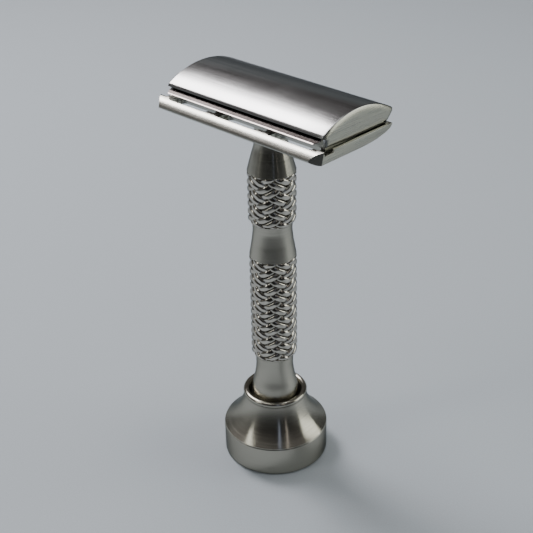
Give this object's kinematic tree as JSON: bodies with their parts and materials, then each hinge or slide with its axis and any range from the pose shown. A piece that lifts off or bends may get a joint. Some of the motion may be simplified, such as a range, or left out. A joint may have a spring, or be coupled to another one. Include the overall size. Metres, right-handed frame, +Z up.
{
  "type": "safety razor with stand",
  "caption": "Single-edge safety razor: round-topped cap over a clamped blade and slotted base plate, braided grip handle, standing in a turned stand.",
  "frame": {"origin": "centre of the stand's foot, on the surface the stand rests on", "axes": "+Z up along the handle, X along the head and the blade, -Y towards the side where the blade and the safety bar face"},
  "size_m": [0.0488, 0.026, 0.0973],
  "materials": {
    "satin_steel": "turned satin stainless steel",
    "brushed_steel": "fine lengthwise brushing",
    "machined_steel": "as machined",
    "blade_steel": "ground blade steel with a fine cross hatch",
    "pad_rubber": "matte black"
  },
  "bodies": {
    "stand_body": {"stand": "satin_steel", "stand_pad": "pad_rubber"},
    "handle_body": {"handle": "satin_steel"},
    "plate_body": {"base_plate": "brushed_steel"},
    "blade_body": {"blade": "blade_steel"},
    "cap_body": {"cap": "brushed_steel", "cap_stud": "machined_steel", "locating_pin_left": "machined_steel", "locating_pin_right": "machined_steel"}
  },
  "joints": [
    {"name": "razor_lift", "type": "slide", "parent": "stand_body", "child": "handle_body", "axis": [0, 0, 1], "range_m": [0, 0.025]},
    {"name": "head_turn", "type": "hinge", "parent": "handle_body", "child": "plate_body", "pos_m": [0, 0, 0.089], "axis": [0, 0, 1], "range_deg": [0, 3330]},
    {"name": "cap_rise", "type": "slide", "parent": "plate_body", "child": "cap_body", "axis": [0, 0, 1], "range_m": [0, 0.0074]},
    {"name": "blade_rise", "type": "slide", "parent": "plate_body", "child": "blade_body", "axis": [0, 0, 1], "range_m": [0, 0.0037]}
  ],
  "couplings": [
    {"joint": "cap_rise", "follows": "head_turn", "m_per_rad": 0.00012732},
    {"joint": "blade_rise", "follows": "head_turn", "m_per_rad": 0.000063662}
  ]
}
